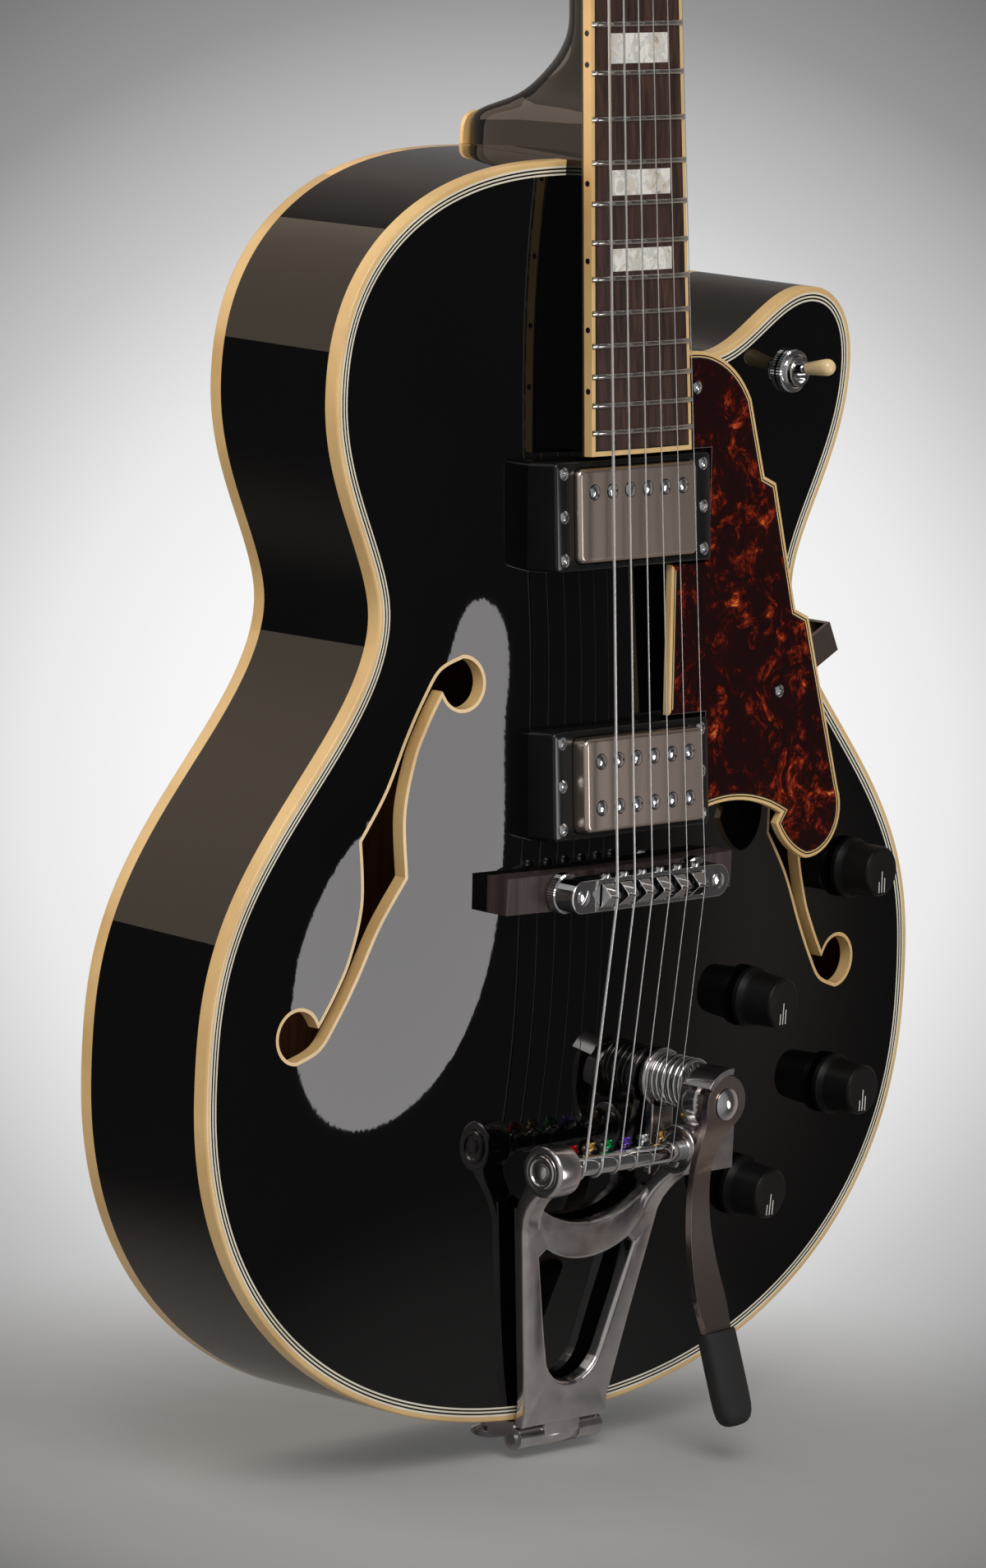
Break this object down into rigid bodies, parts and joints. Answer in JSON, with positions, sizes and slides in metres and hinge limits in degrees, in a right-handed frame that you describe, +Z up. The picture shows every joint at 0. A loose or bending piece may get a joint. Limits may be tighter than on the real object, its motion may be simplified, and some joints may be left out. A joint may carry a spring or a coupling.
{
  "type": "archtop guitar",
  "caption": "Hollow-body archtop electric guitar with f-holes, cutaway, covered pickups, floating bridge and a sprung rocking-bar vibrato tailpiece with a swivelling arm.",
  "frame": {"origin": "seat of the tail strap button on the end of the sides, half way through their depth", "axes": "+Z up the centre line to the headstock, -Y out of the front towards the player's hand, +X the treble side"},
  "size_m": [0.4056, 0.1569, 1.0363],
  "materials": {
    "lacquered_wood": "black gloss lacquer over maple",
    "inside_wood": "bare spruce and mahogany",
    "cream_binding": "aged cream celluloid",
    "rosewood": "oiled dark rosewood",
    "pearl": "polished pearl",
    "fret_wire": "polished nickel silver",
    "bone": "bleached bone",
    "steel": "plain steel",
    "string_steel": "nickel wound and plain steel",
    "chrome": "polished",
    "satin_nickel": "brushed nickel",
    "black_plastic": "gloss",
    "knob_plastic": "satin black",
    "ebony": "satin dark wood",
    "tortoise": "polished tortoiseshell celluloid",
    "cream_plastic": "polished cream",
    "polished_aluminium": "polished casting",
    "spring_steel": "bright coil",
    "soft_grip": "matt black sleeve"
  },
  "bodies": {
    "body": {"top_plate": "lacquered_wood", "back_plate": "lacquered_wood", "rim": "lacquered_wood", "body_bindings": "cream_binding", "linings_and_bars": "inside_wood", "end_blocks": "inside_wood", "neck": "lacquered_wood", "heel_cap": "cream_binding", "fretboard": "rosewood", "fretboard_binding": "cream_binding", "frets": "fret_wire", "fret_markers": "pearl", "nut": "bone", "truss_rod": "steel", "headstock_facings": "lacquered_wood", "tuner_housings": "chrome", "strings": "string_steel", "string_tails": "string_steel", "pickup_rings": "black_plastic", "pickup_covers": "satin_nickel", "pickup_poles": "chrome", "pickup_coils": "black_plastic", "bridge_base": "ebony", "bridge_posts": "chrome", "bridge_body": "chrome", "bridge_saddles": "chrome", "pickguard": "tortoise", "pickguard_bracket": "chrome", "potentiometers": "steel", "toggle_switch": "chrome", "output_jack": "chrome", "strap_buttons": "chrome", "vibrato_frame": "polished_aluminium", "tail_hinge_plate": "polished_aluminium", "hinge_pin": "steel", "bar_bearings": "steel", "vibrato_spring": "spring_steel", "mounting_screws": "chrome"},
    "knob_1": {"knob_1": "knob_plastic"},
    "knob_2": {"knob_2": "knob_plastic"},
    "knob_3": {"knob_3": "knob_plastic"},
    "knob_4": {"knob_4": "knob_plastic"},
    "switch_lever": {"switch_lever": "cream_plastic"},
    "vibrato": {"string_bar": "chrome", "arm_bracket": "polished_aluminium", "arm_bolt": "chrome"},
    "arm": {"vibrato_arm": "chrome", "arm_grip": "soft_grip"},
    "tuner_button_1": {"tuner_button_1": "chrome"},
    "tuner_post_1": {"tuner_post_1": "chrome"},
    "tuner_button_2": {"tuner_button_2": "chrome"},
    "tuner_post_2": {"tuner_post_2": "chrome"},
    "tuner_button_3": {"tuner_button_3": "chrome"},
    "tuner_post_3": {"tuner_post_3": "chrome"},
    "tuner_button_4": {"tuner_button_4": "chrome"},
    "tuner_post_4": {"tuner_post_4": "chrome"},
    "tuner_button_5": {"tuner_button_5": "chrome"},
    "tuner_post_5": {"tuner_post_5": "chrome"},
    "tuner_button_6": {"tuner_button_6": "chrome"},
    "tuner_post_6": {"tuner_post_6": "chrome"}
  },
  "joints": [
    {"name": "knob_1_turn", "type": "hinge", "parent": "body", "child": "knob_1", "pos_m": [0.1598, -0.03501, 0.2058], "axis": [0.0691, -0.9974, 0.0218], "range_deg": [-150, 150]},
    {"name": "knob_2_turn", "type": "hinge", "parent": "body", "child": "knob_2", "pos_m": [0.0946, -0.04181, 0.1601], "axis": [0.1116, -0.9933, -0.0309], "range_deg": [-150, 150]},
    {"name": "knob_3_turn", "type": "hinge", "parent": "body", "child": "knob_3", "pos_m": [0.1554, -0.03502, 0.1173], "axis": [0.056, -0.9982, -0.0216], "range_deg": [-150, 150]},
    {"name": "knob_4_turn", "type": "hinge", "parent": "body", "child": "knob_4", "pos_m": [0.0993, -0.03699, 0.082], "axis": [0.0616, -0.9956, -0.0703], "range_deg": [-150, 150]},
    {"name": "switch_flip", "type": "hinge", "parent": "body", "child": "switch_lever", "pos_m": [0.1105, -0.03288, 0.41], "axis": [1, 0, 0], "range_deg": [0, 18]},
    {"name": "vibrato_rock", "type": "hinge", "parent": "body", "child": "vibrato", "pos_m": [0, -0.06275, 0.1075], "axis": [1, 0, 0], "range_deg": [-8, 4], "stiffness_Nm_per_rad": 5, "deforming": ["vibrato_spring", "string_tails"]},
    {"name": "arm_swivel", "type": "hinge", "parent": "vibrato", "child": "arm", "pos_m": [0.038, -0.08215, 0.1289], "axis": [0, -1, 0], "range_deg": [0, 130]},
    {"name": "tuner_button_1_turn", "type": "hinge", "parent": "body", "child": "tuner_button_1", "pos_m": [-0.026, 0.01802, 0.88029], "axis": [-1, 0, 0], "continuous": true},
    {"name": "tuner_post_1_turn", "type": "hinge", "parent": "body", "child": "tuner_post_1", "pos_m": [-0.026, 0.02006, 0.8863], "axis": [0, -0.9465, 0.3226], "continuous": true},
    {"name": "tuner_button_2_turn", "type": "hinge", "parent": "body", "child": "tuner_button_2", "pos_m": [-0.026, 0.03092, 0.91815], "axis": [-1, 0, 0], "continuous": true},
    {"name": "tuner_post_2_turn", "type": "hinge", "parent": "body", "child": "tuner_post_2", "pos_m": [-0.026, 0.03297, 0.92416], "axis": [0, -0.9465, 0.3226], "continuous": true},
    {"name": "tuner_button_3_turn", "type": "hinge", "parent": "body", "child": "tuner_button_3", "pos_m": [-0.026, 0.04383, 0.95601], "axis": [-1, 0, 0], "continuous": true},
    {"name": "tuner_post_3_turn", "type": "hinge", "parent": "body", "child": "tuner_post_3", "pos_m": [-0.026, 0.04587, 0.96202], "axis": [0, -0.9465, 0.3226], "continuous": true},
    {"name": "tuner_button_4_turn", "type": "hinge", "parent": "body", "child": "tuner_button_4", "pos_m": [0.026, 0.04383, 0.95601], "axis": [1, 0, 0], "continuous": true},
    {"name": "tuner_post_4_turn", "type": "hinge", "parent": "body", "child": "tuner_post_4", "pos_m": [0.026, 0.04587, 0.96202], "axis": [0, -0.9465, 0.3226], "continuous": true},
    {"name": "tuner_button_5_turn", "type": "hinge", "parent": "body", "child": "tuner_button_5", "pos_m": [0.026, 0.03092, 0.91815], "axis": [1, 0, 0], "continuous": true},
    {"name": "tuner_post_5_turn", "type": "hinge", "parent": "body", "child": "tuner_post_5", "pos_m": [0.026, 0.03297, 0.92416], "axis": [0, -0.9465, 0.3226], "continuous": true},
    {"name": "tuner_button_6_turn", "type": "hinge", "parent": "body", "child": "tuner_button_6", "pos_m": [0.026, 0.01802, 0.88029], "axis": [1, 0, 0], "continuous": true},
    {"name": "tuner_post_6_turn", "type": "hinge", "parent": "body", "child": "tuner_post_6", "pos_m": [0.026, 0.02006, 0.8863], "axis": [0, -0.9465, 0.3226], "continuous": true}
  ],
  "couplings": [
    {"joint": "tuner_post_1_turn", "follows": "tuner_button_1_turn", "ratio": 0.0625},
    {"joint": "tuner_post_2_turn", "follows": "tuner_button_2_turn", "ratio": 0.0625},
    {"joint": "tuner_post_3_turn", "follows": "tuner_button_3_turn", "ratio": 0.0625},
    {"joint": "tuner_post_4_turn", "follows": "tuner_button_4_turn", "ratio": 0.0625},
    {"joint": "tuner_post_5_turn", "follows": "tuner_button_5_turn", "ratio": 0.0625},
    {"joint": "tuner_post_6_turn", "follows": "tuner_button_6_turn", "ratio": 0.0625}
  ]
}
